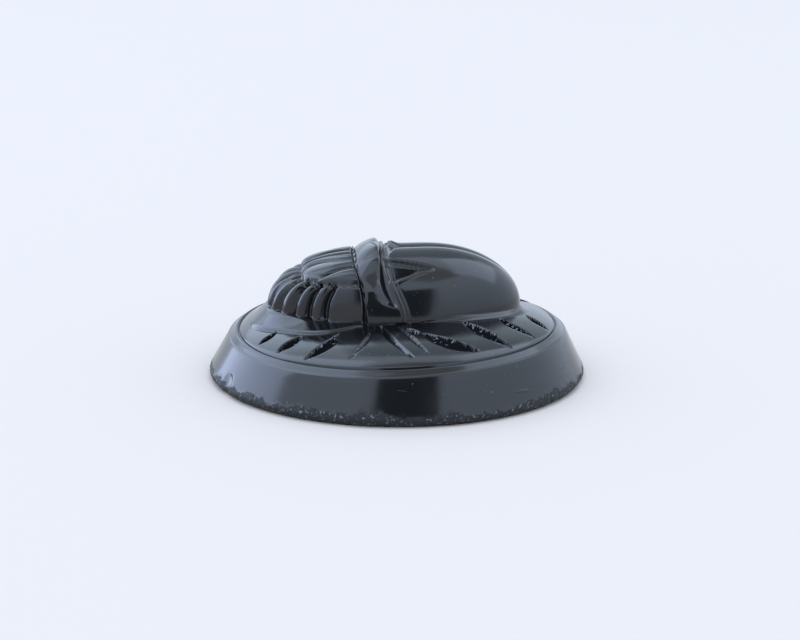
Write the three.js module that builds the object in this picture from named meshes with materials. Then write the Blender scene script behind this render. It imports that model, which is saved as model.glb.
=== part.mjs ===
// A pressed black-glass sew-on button with its shank set into a recess in the back.
// Millimetres, +Z up.  The button stands on its flat back; the origin is the centre of that back.
// The glass is one pressing: bevelled rim, domed flange with leaf cuts, and an oval relief made of
// a smooth two-lobed half, a raised faceted band and a ribbed half with a skirt of claws and a cap.
// U runs along the relief and V across it, from the relief's own middle.

import * as THREE from 'three';

// ---- rim and bevel -------------------------------------------------------------------------------
const FOOT_RADIUS = 13.07;          // outer radius of the flat back
const WIDE_RADIUS = 13.5;           // widest radius, just above the back: half of 27 mm
const WIDE_HEIGHT = 0.5;
const BEVEL_TOP_RADIUS = 12.12;
const RIM_HEIGHT = 3.5;             // height of the rim on the button's axis
const SHOULDER_RADIUS = 11.6;       // the rim slopes down from here to the top of the bevel
const SHOULDER_DROP = 0.38;
const RIM_INNER_RADIUS = 11.5;
const GROOVE_RADIUS = 11.36;
const GROOVE_DEPTH = 0.13;
const FACE_RISE_X = 0.0175;         // the pressed face is not quite level: it rises toward +X,
const FACE_RISE_Y = 0.0065;         // a little toward +Y,
const FACE_TWIST = -0.002;          // and it is slightly twisted

// ---- flange --------------------------------------------------------------------------------------
const FLANGE_RADIUS = 11.3;
const FLANGE_RISE = 1.4;            // how far the flange domes up above the rim
const FLANGE_POWER = 4;             // nearly level by the relief, steep at its edge
const FLANGE_EDGE = 0.75;
const CUT_DEPTH = 0.5;              // depth of the leaf cuts
const LEAF_CUTS = [                 // start, end, half width, bow
  { from: [-4, -6.6], to: [-6.15, -9.2], half: 0.46, bow: 0.45 },
  { from: [-6.55, -6.13], to: [-8.15, -7.5], half: 0.46, bow: 0.15 },
  { from: [-8.3, -4.6], to: [-9.5, -5.6], half: 0.4, bow: 0.05 },
  { from: [1.85, -7.15], to: [5.5, -9.1], half: 0.66, bow: -0.48 },
  { from: [4.65, -4.4], to: [7.8, -7.8], half: 0.58, bow: -0.46 },
  { from: [7.2, -2.9], to: [9.6, -5.45], half: 0.44, bow: -0.52 },
  { from: [9.15, -1.48], to: [10.6, -3.2], half: 0.4, bow: -0.15 },
];
const TAIL_GROOVE = { from: [-1.15, -5], to: [1.15, -10.5], half: 0.4, bow: -0.42 };
const TAIL_DEPTH = 0.4;

// ---- relief --------------------------------------------------------------------------------------
const RELIEF_CENTRE_X = -0.4;
const RELIEF_YAW = THREE.MathUtils.degToRad(4);
const RELIEF_LENGTH = 8.95;         // from its middle to the end of the ribbed half
const DOME_LENGTH = 9.3;            // from its middle to the nose of the smooth half
const RELIEF_WIDTH = 5.15;
const RELIEF_POWER = 2.3;           // how square the oval is at the ribbed end
const DOME_OUTLINE_POWER = 2.1;
const RELIEF_FOOT = 1.15;           // level of the relief's foot above the rim
const END_SHARE = 0.8;              // where the two ends of the outline begin

const PLINTH_START = -1.8;          // the ribbed half stands on a low plinth, from here outward
const PLINTH_STEP = 0.14;
const PLINTH_SLOPE = 0.3;
const PLINTH_GAP = 0.12;
const PLINTH_SPREAD = 0.85;
const PLINTH_BULGE = 0.55;
const FILLET = 0.3;                 // the flange runs up to the dome's nose in a small fillet

const DOME_CENTRE = 2.4;            // past here the dome curves down to its nose
const DOME_HEIGHT = 4.65;
const DOME_POWER = 2.05;
const SEAM_DEPTH = 0.32;            // the valley between the two lobes
const SEAM_WIDTH = 0.45;
const POCKET_CUT = 0.42;            // the folded corner of the dome beside the band

const LEDGE = 2.8;                  // height of the ledge between the claws and the cap
const LEDGE_SHARE = 0.9;
const LEDGE_END_SHARE = 0.73;
const SKIRT_POWER = 2.3;
const CAP_RISE = 1.45;
const CAP_POWER = 2.6;
const CLAW_CENTRE = -3.6;           // the claws fan out from here
const CLAW_PITCH = 15.2;            // degrees
const CLAW_START = 28.5;
const CLAW_LIMIT = 86;
const CLAW_CURL = 8;                // degrees that each claw leans by its top
const CLAW_DEPTH = 0.5;
const CLAW_CREST = 0.42;
const FIRST_CREASE = 1.6;           // creases between the long ribs of the cap
const SECOND_CREASE = 3.06;
const CREASE_FLARE = 0.5;
const LAST_CREASE = 5.3;
const CAP_RIB_DEPTH = 0.4;
const CAP_CREST = 0.29;

const BAND_LEFT = -2.64;
const BAND_RIGHT = -0.75;
const BAND_LEFT_SWEEP = 0.65;       // both edges sweep toward the dome near the foot
const BAND_RIGHT_SWEEP = 1.2;
const BAND_WAIST = 0.15;
const BAND_HEIGHT = 4.3;
const BAND_POWER = 2.2;
const BAND_RIDGE = 0.62;            // height of the ridge between the band's two facets
const BAND_SHOULDER = 0.3;
const RIDGE_PATH = [[0, 0.62], [1.2, 0.78], [2.4, 0.9], [3, 0.8], [3.84, 0.67], [4.56, 0.34], [4.85, 0.08]];
const RIDGE_FALL = [[0, 1], [2, 0.8], [4.5, 0.6], [5.1, 0.05]];

// ---- recess in the back, and the shank in it -------------------------------------------------------
const RECESS_MOUTH_RADIUS = 5.75;
const RECESS_RADIUS = 5.5;
const RECESS_FLOOR_RADIUS = 5.3;
const RECESS_DEPTH = 3.625;         // from the back to the shoulder around the plate
const POCKET_RADIUS = 4.25;
const POCKET_DEPTH = 4.75;
const PLATE_RADIUS = 4;
const PLATE_THICKNESS = 0.5;
const CEMENT_RADIUS = 3.95;
const WIRE_RADIUS = 0.45;
const LEG_SPREAD = 1.55;            // each leg of the loop stands this far from the centre
const LOOP_LOWEST = 0.35;           // the loop stays inside the recess
const LEG_TOP = 4.6;
const LEG_HOLE_RADIUS = 0.65;

// ---- how finely the glass is faceted ---------------------------------------------------------------
const RIBBED_COLUMNS = 26;
const BAND_COLUMNS = 7;
const DOME_COLUMNS = 20;
const ROWS = 25;
const SECTORS = 2 * (RIBBED_COLUMNS + BAND_COLUMNS + DOME_COLUMNS + ROWS);
const PLINTH_RINGS = 2;
const FLANGE_RINGS = 12;
const SMALL_STEP = 0.008;           // share of the flange taken by the plinth's steep edge

const clamp01 = (value) => Math.min(Math.max(value, 0), 1);
const ease = (value) => { const t = clamp01(value); return t * t * (3 - 2 * t); };
const bell = (value) => Math.exp(-value * value);

/** 1 in the middle, falling round to 0 where the share reaches 1. */
const hump = (share, power) => Math.max(1 - Math.abs(share) ** power, 0) ** (1 / power);

/** Height of a broken line, given as a list of its corners, at a place along it. */
function brokenLine(corners, place) {
  const next = corners.findIndex((corner) => corner[0] > place);
  if (next === -1) return corners[corners.length - 1][1];
  if (next === 0) return corners[0][1];
  const [[fromPlace, fromHeight], [toPlace, toHeight]] = [corners[next - 1], corners[next]];
  return fromHeight + (toHeight - fromHeight) * (place - fromPlace) / (toPlace - fromPlace);
}

/** Turns a place on the button into U and V on the relief. */
function toRelief(x, y) {
  const place = new THREE.Vector2(x - RELIEF_CENTRE_X, y).rotateAround(new THREE.Vector2(), -RELIEF_YAW);
  return { u: place.x, v: place.y };
}

/** Turns U and V on the relief into a place on the button. */
function fromRelief(u, v) {
  const place = new THREE.Vector2(u, v).rotateAround(new THREE.Vector2(), RELIEF_YAW);
  return { x: place.x + RELIEF_CENTRE_X, y: place.y };
}

const outlineLength = (u) => (u > 0 ? DOME_LENGTH : RELIEF_LENGTH);
const outlinePower = (u) => (u > 0 ? DOME_OUTLINE_POWER : RELIEF_POWER);

/** 0 at the middle of the relief and 1 on its outline. */
function ovalShare(u, v) {
  const power = outlinePower(u);
  const total = Math.abs(u / outlineLength(u)) ** power + Math.abs(v / RELIEF_WIDTH) ** power;
  return total ** (1 / power);
}

/** Half the width of the relief's outline at a place along it. */
function ovalWidth(u) {
  return RELIEF_WIDTH * hump(u / outlineLength(u), outlinePower(u));
}

/** Where the band's left and right edges lie; both sweep toward the dome near the foot. */
function bandEdges(v) {
  const share = Math.abs(v) / RELIEF_WIDTH;
  const waist = BAND_WAIST * bell((Math.abs(v) - 2.2) / 1.2);
  return [BAND_LEFT + BAND_LEFT_SWEEP * share ** 4, BAND_RIGHT - waist + BAND_RIGHT_SWEEP * share ** 6];
}

/** The smooth half: its height depends on how far a place is from the spine toward the outline. */
function domeHeight(u, v) {
  const spine = Math.min(u, DOME_CENTRE);
  let low = 1;
  let high = 400;
  for (let i = 0; i < 34; i += 1) {
    const reach = (low + high) / 2;
    if (ovalShare(spine + reach * (u - spine), reach * v) < 1) low = reach;
    else high = reach;
  }
  return DOME_HEIGHT * hump(1 / low, DOME_POWER);
}

/** Depth of the valley between the dome's lobes and of the folded corner beside the band. */
function domeDetail(u, v) {
  const across = Math.abs(v);
  const seam = SEAM_DEPTH * bell(v / SEAM_WIDTH) * ease((9.2 - u) / 3.5);
  const top = 2.9 + 0.2 * (u + 0.7);
  const low = 4.1 - 0.3 * (u + 0.32);
  const slope = clamp01((across - top) / Math.max(low - top, 0.3));
  const pocket = POCKET_CUT * slope * ease((low - across) / 0.25) * ease((2.2 - u) / 1.5);
  return Math.max(seam, pocket);
}

/** Share of the oval at which the claws meet the cap; the skirt is deeper round the end. */
function ledgeShare(v) {
  return LEDGE_END_SHARE + (LEDGE_SHARE - LEDGE_END_SHARE) * ease((Math.abs(v) - 0.5) / 3.7);
}

/** The ribbed half without its ribs: a steep skirt up to a ledge, and a cap above it. */
function tierHeight(u, v) {
  const share = ovalShare(u, v);
  const ledge = ledgeShare(v);
  if (share > ledge) return LEDGE * hump(clamp01((share - ledge) / (1 - ledge)), SKIRT_POWER);
  return LEDGE + CAP_RISE * hump(share / ledge, CAP_POWER);
}

/** A rounded rib between two creases: 1 on its crest and 0 at the creases. */
function ribRound(place, crest) {
  const side = place < crest ? (place - crest) / crest : (place - crest) / (1 - crest);
  return Math.sqrt(Math.max(1 - side * side, 0));
}

/** Depth of the creases between the claws, and between the long ribs of the cap. */
function tierDetail(u, v) {
  const across = Math.abs(v);
  const ledge = ledgeShare(v);
  const share = ovalShare(u, v);
  if (share > ledge) {
    const climb = clamp01(tierHeight(u, v) / LEDGE);
    const angle = THREE.MathUtils.radToDeg(Math.atan2(across, Math.max(CLAW_CENTRE - u, 0.02)));
    const phase = (angle - CLAW_START - CLAW_CURL * climb ** 3) / CLAW_PITCH;
    const amount = CLAW_DEPTH * ease(climb / 0.25) * ease((CLAW_LIMIT - angle) / 5);
    return amount * (1 - ribRound(phase - Math.floor(phase), CLAW_CREST));
  }
  const second = SECOND_CREASE + CREASE_FLARE * ease((-3.2 - u) / 2.2);
  const creases = [0, FIRST_CREASE, second, LAST_CREASE];
  const next = creases.findIndex((crease) => crease > across);
  const place = (across - creases[next - 1]) / (creases[next] - creases[next - 1]);
  return CAP_RIB_DEPTH * (1 - ribRound(place, CAP_CREST)) * ease((ledge - share) / 0.04);
}

/** The twisted band across the relief: two facets that meet in a slanting ridge. */
function bandHeight(u, v) {
  const across = Math.abs(v);
  const [left, right] = bandEdges(v);
  const place = clamp01((u - left) / (right - left));
  const ridge = brokenLine(RIDGE_PATH, across);
  const facet = Math.min(place / ridge, (1 - place) / (1 - ridge));
  const middle = ease((2.5 - across) / 1.5);
  const rise = (BAND_RIDGE - 0.15 * middle) * brokenLine(RIDGE_FALL, across);
  return BAND_HEIGHT * hump(v / ovalWidth(u), BAND_POWER) + BAND_SHOULDER * place * middle
    + rise * Math.sin(Math.PI / 2 * facet);
}

/** Height of the flange above the rim: nearly level by the relief and rounding over at its edge. */
function flangeHeight(x, y) {
  const share = Math.min(Math.hypot(x, y) / FLANGE_RADIUS, 1);
  return FLANGE_RISE * (1 - share ** FLANGE_POWER) ** FLANGE_EDGE;
}

/** The outer edge of the plinth beside a place on the relief's outline. */
function plinthPlace(x, y) {
  const { u, v } = toRelief(x, y);
  const spread = PLINTH_SPREAD * ease((PLINTH_START - u) / 2.6);
  const bulge = PLINTH_BULGE * bell((u + 5.2) / 1.6);
  const width = 1 + (PLINTH_GAP + spread + bulge + FILLET * ease((u - 2) / 4)) / RELIEF_WIDTH;
  const length = 1.02 + 0.12 * ease((PLINTH_START - u) / 4) + 0.05 * ease((u - 2) / 4);
  return fromRelief(u * length, v * width);
}

/** Height of the plinth's sloping top, or of the fillet under the dome's nose, above the flange. */
function plinthLift(u, share) {
  const plinth = (PLINTH_STEP + PLINTH_SLOPE * (1 - share) ** 1.4) * ease((PLINTH_START - u) / 1.2);
  return plinth + FILLET * (1 - share) ** 2 * ease((u - 1) / 4);
}

/** How far inside a pointed, bowed leaf a place is: 1 on its middle line and 0 at its edge. */
function leafInside(x, y, { from, to, half, bow }) {
  const length = Math.hypot(to[0] - from[0], to[1] - from[1]);
  const direction = [(to[0] - from[0]) / length, (to[1] - from[1]) / length];
  const along = ((x - from[0]) * direction[0] + (y - from[1]) * direction[1]) / length;
  if (along <= 0 || along >= 1) return 0;
  const side = (y - from[1]) * direction[0] - (x - from[0]) * direction[1] - bow * 4 * along * (1 - along);
  return Math.max(1 - Math.abs(side) / (half * Math.sin(Math.PI * along) ** 0.8), 0);
}

/** Depth of the leaf cuts and of the grooves beside the tails; the two long sides mirror each other. */
function flangeDetail(x, y) {
  const { u, v } = toRelief(x, y);
  const other = fromRelief(u, -v);
  let depth = 0;
  for (const place of [{ x, y }, other]) {
    for (const cut of LEAF_CUTS) depth = Math.max(depth, CUT_DEPTH * ease(leafInside(place.x, place.y, cut) * 2));
    depth = Math.max(depth, TAIL_DEPTH * ease(leafInside(place.x, place.y, TAIL_GROOVE) * 2));
  }
  return depth;
}

/** How far the tilt and twist of the pressed face lift a place. */
const faceLift = (x, y) => FACE_RISE_X * x + FACE_RISE_Y * y + FACE_TWIST * x * y;

const facePoint = (x, y, height) => new THREE.Vector3(x, y, RIM_HEIGHT + height + faceLift(x, y));

/** Places from -1 to 1 that crowd toward both ends. */
const rowPlaces = Array.from({ length: ROWS + 1 }, (_, i) => -Math.cos(Math.PI * i / ROWS));

/** The end of the outline on one side, as a line of places with one for each row. */
function endLine(side) {
  const length = side > 0 ? DOME_LENGTH : RELIEF_LENGTH;
  const power = side > 0 ? DOME_OUTLINE_POWER : RELIEF_POWER;
  const reach = ovalWidth(side * length * END_SHARE);
  return rowPlaces.map((row) => [side * length * hump(row * reach / RELIEF_WIDTH, power), row * reach]);
}

/** One edge of the band, as a line of places with one for each row. */
function bandLine(edge) {
  let reach = RELIEF_WIDTH;
  for (let i = 0; i < 12; i += 1) reach = ovalWidth(bandEdges(reach)[edge]);
  return rowPlaces.map((row) => [bandEdges(row * reach)[edge], row * reach]);
}

/** Steps from 0 to 1 that crowd toward the end given by the sign of the lean. */
function crowdedSteps(count, lean) {
  const steps = Array.from({ length: count + 1 }, (_, i) => i / count);
  if (lean < 0) return steps.map((t) => 0.1 * t + 0.9 * (1 - Math.cos(Math.PI / 2 * t)));
  if (lean > 0) return steps.map((t) => 0.1 * t + 0.9 * Math.sin(Math.PI / 2 * t));
  return steps;
}

/** The columns between two lines of places, each stretched so that its two ends lie on the outline. */
function columnsBetween(start, stop, steps, height, detail) {
  return steps.map((step) => {
    const places = start.map(([u, v], i) => [u + step * (stop[i][0] - u), v + step * (stop[i][1] - v)]);
    const [first, last] = [places[0], places[ROWS]];
    const stretch = [ovalWidth(first[0]) / Math.abs(first[1]), ovalWidth(last[0]) / Math.abs(last[1])];
    return places.map(([u, v], i) => ({ u, v: v * stretch[rowPlaces[i] < 0 ? 0 : 1], height, detail }));
  });
}

/** Every place of the relief: ribbed half, band and dome, column by column. */
function reliefPlaces() {
  const lines = [endLine(-1), bandLine(0), bandLine(1), endLine(1)];
  return [
    ...columnsBetween(lines[0], lines[1], crowdedSteps(RIBBED_COLUMNS, -1), tierHeight, tierDetail),
    ...columnsBetween(lines[1], lines[2], crowdedSteps(BAND_COLUMNS, 0).slice(1), bandHeight, () => 0),
    ...columnsBetween(lines[2], lines[3], crowdedSteps(DOME_COLUMNS, 1).slice(1), domeHeight, domeDetail),
  ];
}

/** The relief as a grid of points: the smooth shape, with its detail cut in along the normals. */
function reliefGrid() {
  const places = reliefPlaces();
  const lastColumn = places.length - 1;
  const onEdge = (i, j) => i === 0 || i === lastColumn || j === 0 || j === ROWS;
  const points = places.map((column, i) => column.map(({ u, v, height }, j) => {
    const { x, y } = fromRelief(u, v);
    const ground = flangeHeight(x, y) + plinthLift(u, 0);
    return facePoint(x, y, onEdge(i, j) ? ground : Math.max(height(u, v) + RELIEF_FOOT, ground));
  }));
  return points.map((column, i) => column.map((point, j) => {
    if (onEdge(i, j)) return point;
    const across = points[i + 1][j].clone().sub(points[i - 1][j]);
    const along = points[i][j + 1].clone().sub(points[i][j - 1]);
    const { u, v, detail } = places[i][j];
    return point.clone().addScaledVector(across.cross(along).normalize(), -detail(u, v));
  }));
}

/** The edge of the grid as one ring, anticlockwise. */
function gridEdge(grid) {
  const last = grid.length - 1;
  return [
    ...grid.slice(0, last).map((column) => column[0]),
    ...grid[last].slice(0, ROWS),
    ...grid.slice(1).reverse().map((column) => column[ROWS]),
    ...grid[0].slice(1).reverse(),
  ];
}

/** Rings of the plinth and the flange, from the relief's edge outward. */
function flangeRings(edge) {
  const rings = [];
  const plinth = edge.map((point) => plinthPlace(point.x, point.y));
  for (let i = 1; i <= PLINTH_RINGS; i += 1) {
    const share = i / PLINTH_RINGS;
    rings.push(edge.map((point, k) => {
      const x = point.x + share * (plinth[k].x - point.x);
      const y = point.y + share * (plinth[k].y - point.y);
      return facePoint(x, y, flangeHeight(x, y) + plinthLift(toRelief(point.x, point.y).u, share));
    }));
  }
  const even = evenAngles(edge);
  for (let i = 0; i <= FLANGE_RINGS; i += 1) {
    const share = Math.max(i / FLANGE_RINGS, SMALL_STEP);
    rings.push(plinth.map((place, k) => {
      const start = Math.atan2(place.y, place.x);
      const turn = even[k] - start;
      const angle = start + share * (turn - 2 * Math.PI * Math.round(turn / (2 * Math.PI)));
      const reach = Math.hypot(place.x, place.y);
      const radius = reach + share * (FLANGE_RADIUS - reach);
      const [x, y] = [radius * Math.cos(angle), radius * Math.sin(angle)];
      const inside = ease((1 - share) * 14) * ease(share * 40);
      return facePoint(x, y, flangeHeight(x, y) - flangeDetail(x, y) * inside);
    }));
  }
  return rings;
}

/** Evenly spaced angles, starting beside the first point of the relief's edge. */
function evenAngles(edge) {
  const start = Math.atan2(edge[0].y, edge[0].x);
  return edge.map((_, k) => start + k / SECTORS * 2 * Math.PI);
}

/** A plain ring of the rim, bevel, back or recess, with a share of the face's tilt. */
function turnedRing(edge, radius, height, tilt = 0) {
  return evenAngles(edge).map((angle) => {
    const [x, y] = [radius * Math.cos(angle), radius * Math.sin(angle)];
    return new THREE.Vector3(x, y, height + tilt * faceLift(x, y));
  });
}

/** The pressed glass: relief, flange, rim, bevel, flat back and the recess for the shank. */
function glassBody() {
  const grid = reliefGrid();
  const edge = gridEdge(grid);
  const rings = [
    edge,
    ...flangeRings(edge),
    turnedRing(edge, GROOVE_RADIUS, RIM_HEIGHT - GROOVE_DEPTH, 1),
    turnedRing(edge, RIM_INNER_RADIUS, RIM_HEIGHT, 1),
    turnedRing(edge, SHOULDER_RADIUS, RIM_HEIGHT, 1),
    turnedRing(edge, BEVEL_TOP_RADIUS, RIM_HEIGHT - SHOULDER_DROP, 1),
    turnedRing(edge, WIDE_RADIUS, WIDE_HEIGHT),
    turnedRing(edge, FOOT_RADIUS, 0),
    turnedRing(edge, RECESS_MOUTH_RADIUS, 0),
    turnedRing(edge, RECESS_RADIUS, RECESS_MOUTH_RADIUS - RECESS_RADIUS),
    turnedRing(edge, RECESS_FLOOR_RADIUS, RECESS_DEPTH),
    turnedRing(edge, POCKET_RADIUS, RECESS_DEPTH),
    turnedRing(edge, POCKET_RADIUS, POCKET_DEPTH),
  ];
  return solidFromGridAndRings(grid, rings, new THREE.Vector3(0, 0, POCKET_DEPTH));
}

/** Closes the relief's grid and the rings around and under it into one solid. */
function solidFromGridAndRings(grid, rings, lastPoint) {
  const inner = grid.flat();
  const points = [...inner, ...rings.slice(1).flat(), lastPoint];
  const numbers = grid.map((column, i) => column.map((_, j) => i * (ROWS + 1) + j));
  const indices = [];
  for (let i = 0; i + 1 < grid.length; i += 1) {
    for (let j = 0; j < ROWS; j += 1) {
      const [a, b, c, d] = [numbers[i][j], numbers[i + 1][j], numbers[i + 1][j + 1], numbers[i][j + 1]];
      indices.push(a, b, c, a, c, d);
    }
  }
  const firstRing = gridEdge(numbers);
  const at = (ring, k) => (ring === 0 ? firstRing[k % SECTORS]
    : inner.length + (ring - 1) * SECTORS + (k % SECTORS));
  for (let k = 0; k < SECTORS; k += 1) {
    for (let ring = 0; ring + 1 < rings.length; ring += 1) {
      indices.push(at(ring, k), at(ring + 1, k), at(ring + 1, k + 1));
      indices.push(at(ring, k), at(ring + 1, k + 1), at(ring, k + 1));
    }
    indices.push(points.length - 1, at(rings.length - 1, k + 1), at(rings.length - 1, k));
  }
  const geometry = new THREE.BufferGeometry();
  geometry.setAttribute('position', new THREE.Float32BufferAttribute(points.flatMap((p) => p.toArray()), 3));
  geometry.setIndex(indices);
  geometry.computeVertexNormals();
  return geometry;
}

/** A round disc with two holes for the legs of the wire loop. */
function drilledDisc(radius, thickness) {
  const outline = new THREE.Shape().absarc(0, 0, radius, 0, 2 * Math.PI);
  for (const side of [-1, 1]) {
    outline.holes.push(new THREE.Path().absarc(side * LEG_SPREAD, 0, LEG_HOLE_RADIUS, 0, 2 * Math.PI));
  }
  return new THREE.ExtrudeGeometry(outline, { depth: thickness, bevelEnabled: false, curveSegments: 24 });
}

/** The wire loop: two legs joined by a half circle, all one wire. */
function wireLoop() {
  const bendHeight = LOOP_LOWEST + WIRE_RADIUS + LEG_SPREAD;
  const path = new THREE.CurvePath();
  const left = new THREE.Vector3(-LEG_SPREAD, 0, bendHeight);
  const right = new THREE.Vector3(LEG_SPREAD, 0, bendHeight);
  path.add(new THREE.LineCurve3(new THREE.Vector3(-LEG_SPREAD, 0, LEG_TOP), left));
  const kappa = 4 / 3 * (Math.SQRT2 - 1) * LEG_SPREAD;
  const bottom = new THREE.Vector3(0, 0, bendHeight - LEG_SPREAD);
  path.add(new THREE.CubicBezierCurve3(left, left.clone().setZ(bendHeight - kappa),
    bottom.clone().setX(-kappa), bottom));
  path.add(new THREE.CubicBezierCurve3(bottom, bottom.clone().setX(kappa),
    right.clone().setZ(bendHeight - kappa), right));
  path.add(new THREE.LineCurve3(right, new THREE.Vector3(LEG_SPREAD, 0, LEG_TOP)));
  const section = new THREE.Shape().absarc(0, 0, WIRE_RADIUS, 0, 2 * Math.PI);
  return new THREE.ExtrudeGeometry(section, { extrudePath: path, steps: 36, curveSegments: 6 });
}

function named(name, geometry, material) {
  const mesh = new THREE.Mesh(geometry, material);
  mesh.name = name;
  return mesh;
}

const group = new THREE.Group();

const glass = named('glass_body', glassBody(), new THREE.MeshStandardMaterial({
  color: 0x0b0c0f, roughness: 0.12, metalness: 0,
}));

const cement = named('shank_cement', drilledDisc(CEMENT_RADIUS, POCKET_DEPTH - RECESS_DEPTH - PLATE_THICKNESS),
  new THREE.MeshStandardMaterial({ color: 0x6b645a, roughness: 0.9, metalness: 0 }));
cement.position.z = RECESS_DEPTH + PLATE_THICKNESS;

const plate = named('shank_plate', drilledDisc(PLATE_RADIUS, PLATE_THICKNESS), new THREE.MeshStandardMaterial({
  color: 0x8d7443, roughness: 0.42, metalness: 1,
}));
plate.position.z = RECESS_DEPTH;

const loop = named('shank_loop', wireLoop(), new THREE.MeshStandardMaterial({
  color: 0x9a8250, roughness: 0.35, metalness: 1,
}));

group.add(glass, cement, plate, loop);

export default group;
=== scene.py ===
"""Looks of a pressed black-glass sew-on button, built around its CAD frame.  Metres, +Z up."""

import math

import bpy
import numpy as np
from mathutils import Matrix, Vector


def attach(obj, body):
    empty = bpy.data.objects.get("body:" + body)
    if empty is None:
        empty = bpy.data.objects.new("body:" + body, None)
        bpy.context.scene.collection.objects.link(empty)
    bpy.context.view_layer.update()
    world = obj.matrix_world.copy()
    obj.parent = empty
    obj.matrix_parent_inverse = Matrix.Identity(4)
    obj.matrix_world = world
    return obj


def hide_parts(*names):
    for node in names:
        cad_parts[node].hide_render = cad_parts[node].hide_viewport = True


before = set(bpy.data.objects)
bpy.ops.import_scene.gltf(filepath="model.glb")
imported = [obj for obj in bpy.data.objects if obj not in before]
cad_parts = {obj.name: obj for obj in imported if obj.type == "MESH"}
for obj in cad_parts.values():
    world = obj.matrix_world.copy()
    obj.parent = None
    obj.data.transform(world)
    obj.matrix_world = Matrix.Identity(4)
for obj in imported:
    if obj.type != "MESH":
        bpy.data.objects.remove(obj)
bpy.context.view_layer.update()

MM = 0.001
TINY = 1e-6
SQUARE = ((-1, -1), (1, -1), (1, 1), (-1, 1))

# ---- rim, bevel and flange, in millimetres ---------------------------------------------------------
FOOT_RADIUS = 13.07
WIDE_RADIUS = 13.5
WIDE_HEIGHT = 0.5
RIM_HEIGHT = 3.5
FLANGE_RADIUS = 11.3
FLANGE_RISE = 1.4
FLANGE_POWER = 4
FLANGE_EDGE = 0.75
POCKET_DEPTH = 4.75
FACE_RISE_X = 0.0175
FACE_RISE_Y = 0.0065
FACE_TWIST = -0.002

# ---- relief ----------------------------------------------------------------------------------------
RELIEF_CENTRE_X = -0.4
RELIEF_YAW = math.radians(4)
RELIEF_LENGTH = 8.95
DOME_LENGTH = 9.3
DOME_OUTLINE_POWER = 2.1
RELIEF_WIDTH = 5.15
RELIEF_POWER = 2.3
RELIEF_FOOT = 1.15
PLINTH_START = -1.8
PLINTH_STEP = 0.14
PLINTH_SLOPE = 0.12
PLINTH_END_SLOPE = 0.6
PLINTH_SIDE = 0.12
PLINTH_LENGTH = 1.02
FILLET = 0.3
WAVE_DEPTH, WAVE_CELL, WAVE_SEED = 0.008, 1.6, 11      # slow unevenness of the pressed surface

# ---- mesh density ----------------------------------------------------------------------------------
END_CORNER = 0.8         # share of the relief's length at which its end columns meet its long sides
LEFT_COLUMNS, BAND_COLUMNS, RIGHT_COLUMNS = 98, 30, 72
ROWS = 138
PLINTH_RINGS = 5
FLANGE_RINGS = 48
BEVEL_RINGS = 14
BISECTIONS = 34
SECTORS = 2 * (LEFT_COLUMNS + BAND_COLUMNS + RIGHT_COLUMNS + ROWS)


def ease(t):
    """0 up to 0, 1 from 1 on, and a soft S between."""
    t = np.clip(t, 0, 1)
    return t * t * (3 - 2 * t)


def bell(t):
    """1 at 0, falling to about a third at 1 and to nothing beyond 2."""
    return np.exp(-np.square(t))


def hump(share, power):
    """1 in the middle, falling round to 0 where the share reaches 1."""
    return np.clip(1 - np.abs(share) ** power, 0, 1) ** (1 / power)


HASH_STEPS = (73856093, 19349663, 83492791, 2654435)
HASH_MIX = 1274126177
HASH_LIMIT = 0x7FFFFFFF
HASH_TOP = 0xFFFF


def lattice_value(ix, iy, iz, seed):
    """A repeatable number from 0 to 1 for each corner of a lattice."""
    n = (ix * HASH_STEPS[0]) ^ (iy * HASH_STEPS[1]) ^ (iz * HASH_STEPS[2]) ^ (seed * HASH_STEPS[3])
    n = (n ^ (n >> 13)) * HASH_MIX
    n = n & HASH_LIMIT
    return ((n ^ (n >> 16)) & HASH_TOP) / HASH_TOP


def noise(points, cell, seed):
    """Smooth noise from -1 to 1 at points in millimetres, with lumps about a cell across."""
    p = points / cell
    low = np.floor(p).astype(np.int64)
    f = p - low
    f = f * f * (3 - 2 * f)
    value = 0
    for dx in (0, 1):
        for dy in (0, 1):
            for dz in (0, 1):
                weight = ((f[..., 0] if dx else 1 - f[..., 0]) * (f[..., 1] if dy else 1 - f[..., 1])
                          * (f[..., 2] if dz else 1 - f[..., 2]))
                value = value + weight * lattice_value(low[..., 0] + dx, low[..., 1] + dy,
                                                       low[..., 2] + dz, seed)
    return value * 2 - 1


def to_relief(x, y):
    """From places on the button to u along the relief and v across it."""
    c, s = math.cos(RELIEF_YAW), math.sin(RELIEF_YAW)
    return c * (x - RELIEF_CENTRE_X) + s * y, -s * (x - RELIEF_CENTRE_X) + c * y


def from_relief(u, v):
    """The other way round."""
    c, s = math.cos(RELIEF_YAW), math.sin(RELIEF_YAW)
    return c * u - s * v + RELIEF_CENTRE_X, s * u + c * v


def mirrored(x, y):
    """The matching place on the other side of the relief's axis."""
    u, v = to_relief(x, y)
    return from_relief(u, -v)


def oval_length(u):
    """Half length of the relief's outline, which differs between its two ends."""
    return np.where(u > 0, DOME_LENGTH, RELIEF_LENGTH)


def oval_power(u):
    """How square each end of the outline is; 2 would be a true oval."""
    return np.where(u > 0, DOME_OUTLINE_POWER, RELIEF_POWER)


def oval_share(u, v):
    """0 at the middle of the relief and 1 on its outline, a slightly square oval."""
    power = oval_power(u)
    powers = np.abs(u / oval_length(u)) ** power + np.abs(v / RELIEF_WIDTH) ** power
    return powers ** (1 / power)


def oval_width(u):
    """Half width of the outline at a place along the relief."""
    return RELIEF_WIDTH * hump(u / oval_length(u), oval_power(u))


LEAF_POINT = 0.8         # below 1, a leaf is blunter than a sine


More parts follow.
